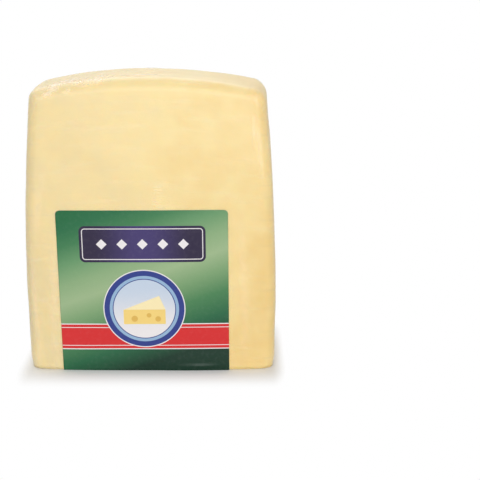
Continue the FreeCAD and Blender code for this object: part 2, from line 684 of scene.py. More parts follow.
class Desk:
    """Lays out the nodes of one shader tree."""

    def __init__(self, tree: bpy.types.NodeTree) -> None:
        """Empties the tree and starts on it."""
        self.tree = tree
        self.tree.nodes.clear()

    def add(self, kind: str, **sockets: object) -> bpy.types.Node:
        """Adds a node and fills its sockets.

        Args:
            kind: The node's type.
            **sockets: Values or sockets, by the input's name with _ for each space.

        Returns:
            The node.
        """
        node = self.tree.nodes.new(kind)
        for name, value in sockets.items():
            self.fill(node.inputs[name.replace("_", " ")], value)
        return node

    def fill(self, socket: Socket, value: object) -> None:
        """Links a socket to another, or sets its value.

        Args:
            socket: The input to fill.
            value: An output socket or a plain value.
        """
        if isinstance(value, Socket):
            self.tree.links.new(value, socket)
        else:
            socket.default_value = value

    def math(self, operation: str, *values: object, clamp: bool = False) -> Socket:
        """Adds a Math node.

        Args:
            operation: The operation's name.
            *values: Numbers or sockets for its inputs, in order.
            clamp: True to keep the result from 0 to 1.

        Returns:
            The result's socket.
        """
        node = self.tree.nodes.new("ShaderNodeMath")
        node.operation = operation
        node.use_clamp = clamp
        for socket, value in zip(node.inputs, values):
            self.fill(socket, value)
        return node.outputs[0]

    def between(self, value: object, low: float, high: float) -> Socket:
        """A smooth 0 to 1 as value goes from low to high, which may be the other way round.

        Args:
            value: What is compared.
            low: Where the result is 0.
            high: Where the result is 1.

        Returns:
            The result's socket.
        """
        node = self.tree.nodes.new("ShaderNodeMapRange")
        node.interpolation_type = "SMOOTHSTEP"
        for name, number in (("From Min", min(low, high)), ("From Max", max(low, high))):
            self.fill(node.inputs[name], number)
        self.fill(node.inputs["To Min"], 0.0 if low < high else 1.0)
        self.fill(node.inputs["To Max"], 1.0 if low < high else 0.0)
        self.fill(node.inputs["Value"], value)
        return node.outputs["Result"]

    def mix(self, factor: object, first: object, second: object) -> Socket:
        """Mixes two colours.

        Args:
            factor: The second colour's share.
            first: A colour or a socket.
            second: A colour or a socket.

        Returns:
            The mixed colour's socket.
        """
        node = self.tree.nodes.new("ShaderNodeMix")
        node.data_type = "RGBA"
        colours = [s for s in node.inputs if s.type == "RGBA"]
        self.fill(node.inputs["Factor"], factor)
        self.fill(colours[0], first)
        self.fill(colours[1], second)
        return next(s for s in node.outputs if s.type == "RGBA")

    def ramp(self, value: object, stops: tuple[tuple[float, Colour], ...]) -> Socket:
        """Takes a colour from a ramp.

        Args:
            value: The place on the ramp.
            stops: The ramp's stops, each a position from 0 to 1 and its colour.

        Returns:
            The colour's socket.
        """
        node = self.add("ShaderNodeValToRGB", Fac=value)
        elements = node.color_ramp.elements
        while len(elements) < len(stops):
            elements.new(1.0)
        for element, (position, colour) in zip(elements, stops):
            element.position = position
            element.color = colour
        return node.outputs["Color"]

    def noise(self, vector: object, scale: float, detail: float = 3.0) -> Socket:
        """Soft noise from 0 to 1 about a half, of this many blobs to the metre."""
        node = self.add("ShaderNodeTexNoise", Vector=vector, Scale=scale, Detail=detail)
        return node.outputs["Fac"]

    def length(self, first: object, second: object) -> Socket:
        """The length of a pair: the root of the sum of their squares."""
        squares = [self.math("MULTIPLY", value, value) for value in (first, second)]
        return self.math("POWER", self.math("ADD", *squares), 0.5)

    def over(self, below: Socket, above: Socket, share: Socket) -> Socket:
        """Mixes a second shader over a first one, by its share.

        Args:
            below: The first shader.
            above: The second shader.
            share: How much of the second one shows.

        Returns:
            The mixed shader.
        """
        mixed = self.add("ShaderNodeMixShader", Fac=share)
        self.fill(mixed.inputs[1], below)
        self.fill(mixed.inputs[2], above)
        return mixed.outputs[0]

    def split(self, vector: object) -> tuple[Socket, ...]:
        """The x, y and z of a vector."""
        return tuple(self.add("ShaderNodeSeparateXYZ", Vector=vector).outputs)

    def bump(self, height: object, distance: float, strength: float = 1.0) -> Socket:
        """Normals from a height pattern that is distance deep."""
        node = self.add("ShaderNodeBump", Height=height, Strength=strength, Distance=distance)
        return node.outputs["Normal"]

    def finish(self, shader: Socket) -> None:
        """Sends the shader to the material's output."""
        self.add("ShaderNodeOutputMaterial", Surface=shader)


def new_material(name: str) -> tuple[bpy.types.Material, Desk]:
    """Starts a material.

    Args:
        name: The material's name.

    Returns:
        The material and the desk for its nodes.
    """
    material = bpy.data.materials.new(name)
    material.use_nodes = True
    return material, Desk(material.node_tree)


class Effect(Enum):
    """The node groups that materials share."""

    RIPPLE = "film_ripple"
    DISC = "print_disc"
    PATCH = "print_patch"


def new_group(
    name: str, inputs: dict[str, float], output: str
) -> tuple[Desk, dict[str, Socket]]:
    """Starts a shader node group with a Vector, some numbers and one number out.

    Args:
        name: The group's name.
        inputs: Each number's name and usual value.
        output: The result's name.

    Returns:
        The desk for its nodes, and its input sockets by name.
    """
    tree = bpy.data.node_groups.new(name, "ShaderNodeTree")
    tree.interface.new_socket("Vector", in_out="INPUT", socket_type="NodeSocketVector")
    for key, value in inputs.items():
        socket = tree.interface.new_socket(key, in_out="INPUT", socket_type="NodeSocketFloat")
        socket.default_value = value
    tree.interface.new_socket(output, in_out="OUTPUT", socket_type="NodeSocketFloat")
    desk = Desk(tree)
    entry = tree.nodes.new("NodeGroupInput")
    return desk, {s.name: s for s in entry.outputs if s.name}


def place_group(desk: Desk, effect: Effect, **inputs: object) -> Socket:
    """Puts a shared node group into a material.

    Args:
        desk: Where to add the node.
        effect: The group.
        **inputs: Values or sockets, by the input's name with _ for each space.

    Returns:
        The group's one result.
    """
    node = desk.tree.nodes.new("ShaderNodeGroup")
    node.node_tree = bpy.data.node_groups[effect.value]
    for key, value in inputs.items():
        desk.fill(node.inputs[key.replace("_", " ")], value)
    return node.outputs[0]


def build_effects() -> None:
    """Builds each shared node group once: ridges in film, and soft-edged print shapes."""
    softness = 0.06 * MM
    desk, given = new_group(Effect.RIPPLE.value, {"Scale": 200.0, "Stretch": 3.0}, "Height")
    x, y, z = desk.split(given["Vector"])
    along = desk.add("ShaderNodeCombineXYZ", X=x, Y=desk.math("MULTIPLY", y, given["Stretch"]), Z=z)
    noise = desk.add(
        "ShaderNodeTexNoise",
        Vector=along.outputs[0],
        Scale=given["Scale"],
        Detail=4.0,
        Distortion=0.6,
    )
    ridge = desk.math("ABSOLUTE", desk.math("SUBTRACT", noise.outputs["Fac"], 0.5))
    desk.add("NodeGroupOutput", Height=desk.math("MULTIPLY", ridge, 2.0))

    desk, given = new_group(Effect.DISC.value, {"X": 0.0, "Y": 0.0, "Radius": 0.01}, "Mask")
    x, y, _ = desk.split(given["Vector"])
    across, up = desk.math("SUBTRACT", x, given["X"]), desk.math("SUBTRACT", y, given["Y"])
    past = desk.math("SUBTRACT", desk.length(across, up), given["Radius"])
    desk.add("NodeGroupOutput", Mask=desk.between(past, softness, -softness))

    sizes = {"X": 0.0, "Y": 0.0, "Half Width": 0.01, "Half Height": 0.01, "Corner": 0.001}
    desk, given = new_group(Effect.PATCH.value, sizes, "Mask")
    x, y, _ = desk.split(given["Vector"])
    overs = []
    for value, centre, half in ((x, "X", "Half Width"), (y, "Y", "Half Height")):
        out = desk.math("ABSOLUTE", desk.math("SUBTRACT", value, given[centre]))
        core = desk.math("SUBTRACT", given[half], given["Corner"])
        overs.append(desk.math("MAXIMUM", desk.math("SUBTRACT", out, core), 0.0))
    past = desk.math("SUBTRACT", desk.length(*overs), given["Corner"])
    desk.add("NodeGroupOutput", Mask=desk.between(past, softness, -softness))


# ---------------------------------------------------------------- finishes


@dataclass(frozen=True)
class CheeseFinish:
    """Pale cheddar: close, faintly marbled, a little translucent, drier where it was cut.

    The tone runs from 0, pale, to 1, deep. Its drift across the loaf is painted shade, duller
    at the left side and deeper at the right. Noise scales are blobs to the metre.
    """

    # Own patchy tones; the drift across x also uses pale and deep as painted side shade.
    pale: Colour = tint(236, 217, 166)
    main: Colour = tint(251, 226, 164)
    deep: Colour = tint(241, 210, 138)
    cut: Colour = tint(250, 224, 158)
    cut_share: float = 0.8
    cut_height: tuple[float, float] = (0.6 * MM, 0.2 * MM)
    cut_roughness: float = 0.18
    # The painted shade's drift across x, per metre, from pale at the left to deep at the right.
    side_shade_per_metre: float = 5.2
    middle_tone: float = 0.47
    cloud_scale: float = 26.0
    marble_scale: float = 95.0
    marble_tone: float = 0.5
    grain_scale: float = 900.0
    wire_scale: float = 160.0
    grain_depth: float = 0.04 * MM
    grain_strength: float = 0.5
    least_roughness: float = 0.40
    marble_roughness: float = 0.12
    glow: tuple[float, float, float] = (1.0, 0.62, 0.28)
    glow_weight: float = 0.35
    glow_depth: float = 2.2 * MM

    def material(self) -> bpy.types.Material:
        """Builds the material. The tone drifts from pale at the left to deeper at the right:
        painted shade that dims both sides of the loaf against its middle.

        Returns:
            The material.
        """
        material, desk = new_material("cheese")
        place = desk.add("ShaderNodeTexCoord").outputs["Object"]
        x, _, z = desk.split(place)
        # Painted shade: the tone slides with x, duller at the left side, deeper at the right.
        painted_side_shade = desk.math("MULTIPLY_ADD", x, self.side_shade_per_metre, self.middle_tone)
        cloud = desk.noise(place, self.cloud_scale, 4.0)
        marble = desk.noise(place, self.marble_scale, 5.0)
        veins = desk.math("MULTIPLY_ADD", marble, self.marble_tone, -self.marble_tone / 2)
        tone = desk.math("ADD", painted_side_shade, desk.math("SUBTRACT", cloud, 0.5))
        tone = desk.math("ADD", tone, veins, clamp=True)
        colour = desk.ramp(tone, ((0.0, self.pale), (0.5, self.main), (1.0, self.deep)))
        bare = desk.between(z, *self.cut_height)
        colour = desk.mix(desk.math("MULTIPLY", bare, self.cut_share), colour, self.cut)
        grain = desk.noise(place, self.grain_scale)
        wire = desk.add(
            "ShaderNodeTexWave", Vector=place, Scale=self.wire_scale, Distortion=2.0, Detail=2.0
        )
        height = desk.math("ADD", grain, desk.math("MULTIPLY", wire.outputs["Fac"], bare))
        rough = desk.math("MULTIPLY_ADD", marble, self.marble_roughness, self.least_roughness)
        shader = desk.add(
            "ShaderNodeBsdfPrincipled",
            Base_Color=colour,
            Roughness=desk.math("MULTIPLY_ADD", bare, self.cut_roughness, rough),
            Subsurface_Weight=self.glow_weight,
            Subsurface_Scale=self.glow_depth,
            Subsurface_Radius=self.glow,
            Normal=desk.bump(height, self.grain_depth, self.grain_strength),
        )
        desk.finish(shader.outputs[0])
        return material


@dataclass(frozen=True)
class FilmFinish:
    """Clear wrap: it reflects more at a slant, and its folds and laps turn milky.

    haze is how cloudy the faint level streaks that lie all over it are, and fold_milk how white
    the tightest fold gets, partly clouding and partly painted highlight. Scales are to the metre,
    around and along.
    """

    # White of clouded film, also used as painted highlight where the folds would glint.
    milk: Colour = tint(255, 244, 222)
    refraction: float = 1.36
    most_gloss: float = 0.11
    gloss_roughness: float = 0.27
    milk_roughness: float = 0.3
    haze: float = 0.10
    fold_milk: float = 0.8
    ripple_scale: float = 70.0
    ripple_stretch: float = 2.2
    ripple_depth: float = 0.05 * MM
    ripple_strength: float = 0.4
    patch_scale: float = 160.0
    patch_limits: tuple[float, float] = (0.15, 0.6)
    streak_scale: tuple[float, float, float] = (28.0, 210.0, 1.0)
    streak_limits: tuple[float, float] = (0.48, 0.78)

    def milkiness(self, desk: Desk, chart: Socket) -> Socket:
        """How white the film is: clouding and painted glints of its gathered folds in patches, and
        faint level streaks.

        Args:
            desk: Where to add nodes.
            chart: The film's UV map.

        Returns:
            The white share: clouding, and painted highlight on the folds.
        """
        folds = desk.add("ShaderNodeAttribute")
        folds.attribute_name = "folds"
        patchy = desk.between(desk.noise(chart, self.patch_scale, 2.0), *self.patch_limits)
        gathered = desk.math("MULTIPLY", folds.outputs["Fac"], patchy)
        level = desk.add("ShaderNodeMapping", Vector=chart, Scale=self.streak_scale)
        streaky = desk.between(desk.noise(level.outputs[0], 1.0), *self.streak_limits)
        gathered = desk.math("MULTIPLY", gathered, self.fold_milk)
        return desk.math("MULTIPLY_ADD", streaky, self.haze, gathered)

    def material(self) -> bpy.types.Material:
        """Builds the material.

        The folds attribute gives how tightly the film is gathered. Light goes through the wrap
        onto the cheese unweakened, because milky film scatters it onwards.

        Returns:
            The material.
        """
        material, desk = new_material("film")
        chart = desk.add("ShaderNodeUVMap").outputs[0]
        ripple = place_group(
            desk, Effect.RIPPLE, Vector=chart, Scale=self.ripple_scale, Stretch=self.ripple_stretch
        )
        normal = desk.bump(ripple, self.ripple_depth, self.ripple_strength)
        fresnel = desk.add("ShaderNodeFresnel", IOR=self.refraction, Normal=normal).outputs[0]
        inside = desk.add("ShaderNodeNewGeometry").outputs["Backfacing"]
        shading = desk.add("ShaderNodeLightPath").outputs["Is Shadow Ray"]
        front = desk.math("SUBTRACT", 1.0, desk.math("MAXIMUM", inside, shading))
        clear = desk.add("ShaderNodeBsdfTransparent").outputs[0]
        gloss = desk.add(
            "ShaderNodeBsdfAnisotropic", Roughness=self.gloss_roughness, Normal=normal
        ).outputs[0]
        shine = desk.math("MINIMUM", fresnel, self.most_gloss)
        pane = desk.over(clear, gloss, desk.math("MULTIPLY", shine, front))
        # Milky white layer: clouding of gathered film and painted highlight of the folds' glints.
        cloudy = desk.add(
            "ShaderNodeBsdfPrincipled",
            Base_Color=self.milk,
            Roughness=self.milk_roughness,
            Normal=normal,
        ).outputs[0]
        # Share of the milky white: clouding and painted glints.
        milk = desk.math("MULTIPLY", self.milkiness(desk, chart), front, clamp=True)
        desk.finish(desk.over(pane, cloudy, milk))
        return material


@dataclass(frozen=True)
class PaperFinish:
    """The label's white cut edge."""

    white: Colour = tint(236, 236, 228)
    grey: Colour = tint(214, 214, 204)
    fibre_scale: float = 1500.0
    roughness: float = 0.7

    def material(self) -> bpy.types.Material:
        """Builds the material, with faint fibres.

        Returns:
            The material.
        """
        material, desk = new_material("paper_edge")
        place = desk.add("ShaderNodeTexCoord").outputs["Object"]
        fibre = desk.noise(place, self.fibre_scale, 2.0)
        colour = desk.mix(fibre, self.white, self.grey)
        shader = desk.add("ShaderNodeBsdfPrincipled", Base_Color=colour, Roughness=self.roughness)
        desk.finish(shader.outputs[0])
        return material


@dataclass(frozen=True)
class PrintFinish:
    """The label's print: a sheened green ground, a plaque, a stripe and a round badge.

    It reads the label's own UV map, in metres from the middle of its foot. The ground's ramp
    runs across a slanting pale line, from a distance below it to one above. The stripe's bands
    and the badge's rings are laid from the largest to the smallest.
    """

    sheen_foot: tuple[float, float] = (-46 * MM, 40.3 * MM)
    sheen_slope_deg: float = 19.5
    below: float = 50 * MM
    above: float = 57 * MM
    ground_stops: tuple[tuple[float, Colour], ...] = (
        (0.00, tint(12, 50, 34)),
        (0.14, tint(36, 100, 66)),
        (0.27, tint(74, 130, 84)),
        (0.39, tint(126, 163, 116)),
        (0.49, tint(158, 184, 140)),
        (0.59, tint(140, 173, 127)),
        (0.70, tint(104, 152, 106)),
        (0.80, tint(62, 124, 80)),
        (0.89, tint(36, 108, 68)),
        (0.97, tint(22, 102, 58)),
    )
    navy_deep: Colour = tint(40, 30, 60)
    navy: Colour = tint(66, 55, 108)
    ring_blue: Colour = tint(46, 62, 136)
    pale_blue: Colour = tint(150, 182, 214)
    sky: Colour = tint(198, 212, 230)
    red: Colour = tint(214, 44, 46)
    white: Colour = tint(238, 234, 236)
    wedge_top: Colour = tint(252, 236, 186)
    wedge_front: Colour = tint(246, 214, 128)
    wedge_hole: Colour = tint(226, 184, 92)
    stripe_y: float = 22.0 * MM
    stripe_half_length: float = 70 * MM
    stripe_halves: tuple[float, ...] = (8.2 * MM, 7.6 * MM, 5.9 * MM, 5.5 * MM)
    plaque_y: float = 79.5 * MM
    plaque_half: tuple[float, float] = (37 * MM, 11 * MM)
    plaque_corner: float = 3.4 * MM
    plaque_line: tuple[float, float] = (1.5 * MM, 2.0 * MM)
    plaque_glow: tuple[float, float] = (30 * MM, 2 * MM)
    diamonds: int = 5
    diamond_pitch: float = 12 * MM
    diamond_half: float = 3.2 * MM
    badge_y: float = 39.5 * MM
    badge_radii: tuple[float, ...] = (24.4 * MM, 23.8 * MM, 20.6 * MM, 18.8 * MM, 18.3 * MM)
    sky_half: float = 16 * MM
    wedge_half: tuple[float, float] = (12.5 * MM, 4.6 * MM)
    wedge_below_middle: float = 5 * MM
    wedge_slopes: tuple[float, float] = (0.40, -2.4)
    wedge_heights: tuple[float, float] = (5.0 * MM, 30.0 * MM)
    wedge_holes: tuple[tuple[float, float, float], ...] = (
        (-6.0 * MM, -1.2 * MM, 1.9 * MM),
        (2.6 * MM, 0.9 * MM, 1.4 * MM),
        (8.0 * MM, -1.4 * MM, 1.7 * MM),
    )
    fleck_scale: float = 420.0
    fleck_share: float = 0.012
    fleck_roughness: float = 0.08
    least_roughness: float = 0.30
    gloss: float = 0.28
    varnish: float = 0.06
    varnish_roughness: float = 0.12
    ripple_scale: float = 110.0
    ripple_stretch: float = 1.6
    ripple_depth: float = 0.05 * MM
    ripple_strength: float = 0.05

    def ground(self, desk: Desk, x: Socket, y: Socket) -> Socket:
        """The ground: a colour ramp over the distance from the slanting pale line.

        Args:
            desk: Where to add nodes.
            x: The socket across the label.
            y: The socket up the label.

        Returns:
            The ground's colour.
        """
        slope = math.radians(self.sheen_slope_deg)
        foot_x, foot_y = self.sheen_foot
        span = self.below + self.above
        shift = foot_x * math.sin(slope) - foot_y * math.cos(slope)
        far = desk.math("MULTIPLY_ADD", y, math.cos(slope), shift)
        far = desk.math("MULTIPLY_ADD", x, -math.sin(slope), far)
        return desk.ramp(
            desk.math("MULTIPLY_ADD", far, 1 / span, self.below / span), self.ground_stops
        )

    def patch(
        self, desk: Desk, chart: Socket, half: tuple[float, float], y: float, corner: float
    ) -> Socket:
        """A rounded patch on the label's middle line.

        Args:
            desk: Where to add nodes.
            chart: The label's UV map.
            half: Half its width and half its height.
            y: Its middle's distance up the label.
            corner: Its corners' radius.

        Returns:
            The mask.
        """
        return place_group(
            desk,
            Effect.PATCH,
            Vector=chart,
            Y=y,
            Half_Width=half[0],
            Half_Height=half[1],
            Corner=corner,
        )

    def disc(self, desk: Desk, chart: Socket, middle: tuple[float, float], radius: float) -> Socket:
        """A round spot.

        Args:
            desk: Where to add nodes.
            chart: The label's UV map.
            middle: Its middle's distances across and up the label.
            radius: Its radius.

        Returns:
            The mask.
        """
        x, y = middle
        return place_group(desk, Effect.DISC, Vector=chart, X=x, Y=y, Radius=radius)

    def stripe(self, desk: Desk, chart: Socket, colour: Socket) -> Socket:
        """A red stripe right across, with a white line near each edge.

        Args:
            desk: Where to add nodes.
            chart: The label's UV map.
            colour: What lies under it.

        Returns:
            The colour with the stripe on it.
        """
        for half, paint in zip(self.stripe_halves, (self.white, self.red, self.white, self.red)):
            size = (self.stripe_half_length, half)
            mask = self.patch(desk, chart, size, self.stripe_y, 0.1 * MM)
            colour = desk.mix(mask, colour, paint)
        return colour

    def plaque(self, desk: Desk, chart: Socket, colour: Socket) -> Socket:
        """A navy plaque, brighter at its middle, with a white line inside and a row of diamonds.

        The way across is cut into cells one pitch wide, from some cells further left so that it
        stays positive. A diamond is where the distances across and up from its cell's middle add
        up to little.

        Args:
            desk: Where to add nodes.
            chart: The label's UV map.
            colour: What lies under it.

        Returns:
            The colour with the plaque on it.
        """
        x, y, _ = desk.split(chart)
        glow = desk.between(desk.math("ABSOLUTE", x), *self.plaque_glow)
        navy = desk.mix(glow, self.navy_deep, self.navy)
        half_x, half_y = self.plaque_half
        for inset, paint in zip((0.0, *self.plaque_line), (navy, self.white, navy)):
            size = (half_x - inset, half_y - inset)
            mask = self.patch(desk, chart, size, self.plaque_y, self.plaque_corner - inset)
            colour = desk.mix(mask, colour, paint)
        pitch, half = self.diamond_pitch, self.diamond_half
        row_half, cells_left = self.diamonds / 2 * pitch, 8
        cell = desk.math("MODULO", desk.math("ADD", x, row_half + cells_left * pitch), pitch)
        across = desk.math("ABSOLUTE", desk.math("SUBTRACT", cell, pitch / 2))
        up = desk.math("ABSOLUTE", desk.math("SUBTRACT", y, self.plaque_y))
        diamond = desk.between(desk.math("ADD", across, up), half, half - 0.15 * MM)
        row = desk.between(desk.math("ABSOLUTE", x), row_half, row_half - 0.1 * MM)
        return desk.mix(desk.math("MULTIPLY", diamond, row), colour, self.white)

    def badge(self, desk: Desk, chart: Socket, colour: Socket) -> Socket:
        """A round badge: blue rings about a pale sky.

        Args:
            desk: Where to add nodes.
            chart: The label's UV map.
            colour: What lies under it.

        Returns:
            The colour with the badge on it.
        """
        _, y, _ = desk.split(chart)
        up = desk.between(y, self.badge_y - self.sky_half, self.badge_y + self.sky_half)
        sky = desk.mix(up, self.white, self.sky)
        paints = (self.white, self.ring_blue, self.pale_blue, self.ring_blue, sky)
        for radius, paint in zip(self.badge_radii, paints):
            mask = self.disc(desk, chart, (0.0, self.badge_y), radius)
            colour = desk.mix(mask, colour, paint)
        return colour

    def wedge(self, desk: Desk, chart: Socket, colour: Socket) -> Socket:
        """A wedge of cheese on the badge: a front face with three holes, under a slanting top.

        The top is what lies above the front face and under two straight lines, one that rises
        gently to the right and a steep one that falls there. Each line has its slope and its
        height above the front face at the middle. A hole has its place on the front face, from
        its middle, and its radius.

        Args:
            desk: Where to add nodes.
            chart: The label's UV map.
            colour: What lies under it.

        Returns:
            The colour with the wedge on it.
        """
        x, y, _ = desk.split(chart)
        front_y = self.badge_y - self.wedge_below_middle
        shelf = front_y + self.wedge_half[1]
        front = self.patch(desk, chart, self.wedge_half, front_y, 0.3 * MM)
        colour = desk.mix(front, colour, self.wedge_front)
        lines = [
            desk.math("MULTIPLY_ADD", x, slope, shelf + height)
            for slope, height in zip(self.wedge_slopes, self.wedge_heights)
        ]
        under = desk.math("SUBTRACT", desk.math("MINIMUM", *lines), y)
        inside = desk.math("MINIMUM", under, desk.math("SUBTRACT", y, shelf))
        colour = desk.mix(desk.between(inside, -0.05 * MM, 0.1 * MM), colour, self.wedge_top)
        for hole_x, hole_y, radius in self.wedge_holes:
            hole = self.disc(desk, chart, (hole_x, front_y + hole_y), radius)
            colour = desk.mix(hole, colour, self.wedge_hole)
        return colour

    def material(self) -> bpy.types.Material:
        """Builds the material, laying each motif over what lies under it.

        Returns:
            The material.
        """
        material, desk = new_material("label_print")
        chart = desk.add("ShaderNodeUVMap").outputs[0]
        x, y, _ = desk.split(chart)
        colour = self.ground(desk, x, y)
        for motif in (self.stripe, self.plaque, self.badge, self.wedge):
            colour = motif(desk, chart, colour)
        fleck = desk.noise(chart, self.fleck_scale)
        worn = desk.math("MULTIPLY", desk.between(fleck, 0.45, 0.75), self.fleck_share)
        colour = desk.mix(worn, colour, self.white)
        ripple = place_group(
            desk, Effect.RIPPLE, Vector=chart, Scale=self.ripple_scale, Stretch=self.ripple_stretch
        )
        shader = desk.add(
            "ShaderNodeBsdfPrincipled",
            Base_Color=colour,
            Roughness=desk.math(
                "MULTIPLY_ADD", fleck, self.fleck_roughness, self.least_roughness
            ),
            Specular_IOR_Level=self.gloss,
            Coat_Weight=self.varnish,
            Coat_Roughness=self.varnish_roughness,
            Normal=desk.bump(ripple, self.ripple_depth, self.ripple_strength),
        )
        desk.finish(shader.outputs[0])
        return material


# ---------------------------------------------------------------- the three pieces


@dataclass
class Cheese:
    """The half loaf itself, whole and solid, a hair inside its wrap."""

    form: LoafForm
    inside_wrap: float = 0.20 * MM
    finish: CheeseFinish = CheeseFinish()

    def build(self) -> bpy.types.Object:
        """Makes the closed body, drawn inside its wrap everywhere but on the cut.

        Returns:
            The cheese.
        """
        maker = SkinMaker(self.form, spacing=2.0 * MM, back_spacing=2.5 * MM, closed_cut=True)
        skin = maker.make()
        out = np.full(skin.points.shape[:2], -self.inside_wrap)
        out[skin.chart_along <= 0] = 0
        return skin_piece("cheese", skin, skin.displaced(out), closed_foot=True)

    def dress(self, piece: bpy.types.Object) -> None:
        """Gives the cheese its finish and ties it to the model.

        Args:
            piece: The cheese.
        """
        piece.data.materials.append(self.finish.material())
        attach(piece, BODY)
        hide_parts("cheese_block")


@dataclass(frozen=True)
class Crease:
    """One fold pinched up in the film, on the chart of distances around and along.

    around and along place its middle. turn is its direction in degrees from the around
    direction, bow is how far its middle stands off the line between its ends, and milk is how
    white the gathered film gets: partly clouding, partly a painted highlight.
    """

    around: float
    along: float
    length: float
    width: float
    height: float
    turn: float = 0.0
    bow: float = 0.0
    milk: float = 0.35

    @classmethod
    def in_mm(cls, *sizes: float, turn: float, bow: float, milk: float = 0.35) -> "Crease":
        """A fold from sizes in millimetres: around, along, length, width and height."""
        return cls(*(size * MM for size in sizes), turn=turn, bow=bow * MM, milk=milk)

    def at(self, around: Array, along: Array, girth: float) -> Array:
        """How far the fold lifts the film: a bell across it times a dome along it.

        Args:
            around: Distances around, over the grid.
            along: Distances along, over the grid.
            girth: The whole way round, after which the chart repeats.

        Returns:
            The lift as a share of the fold's height, from 0 to 1.
        """
        right = (around - self.around + girth / 2) % girth - girth / 2
        up = along - self.along
        angle = math.radians(self.turn)
        run = (right * math.cos(angle) + up * math.sin(angle)) / (self.length / 2)
        dome = np.maximum(1 - run**2, 0)
        off = up * math.cos(angle) - right * math.sin(angle) - self.bow * dome
        return np.exp(-((off / self.width) ** 2)) * dome


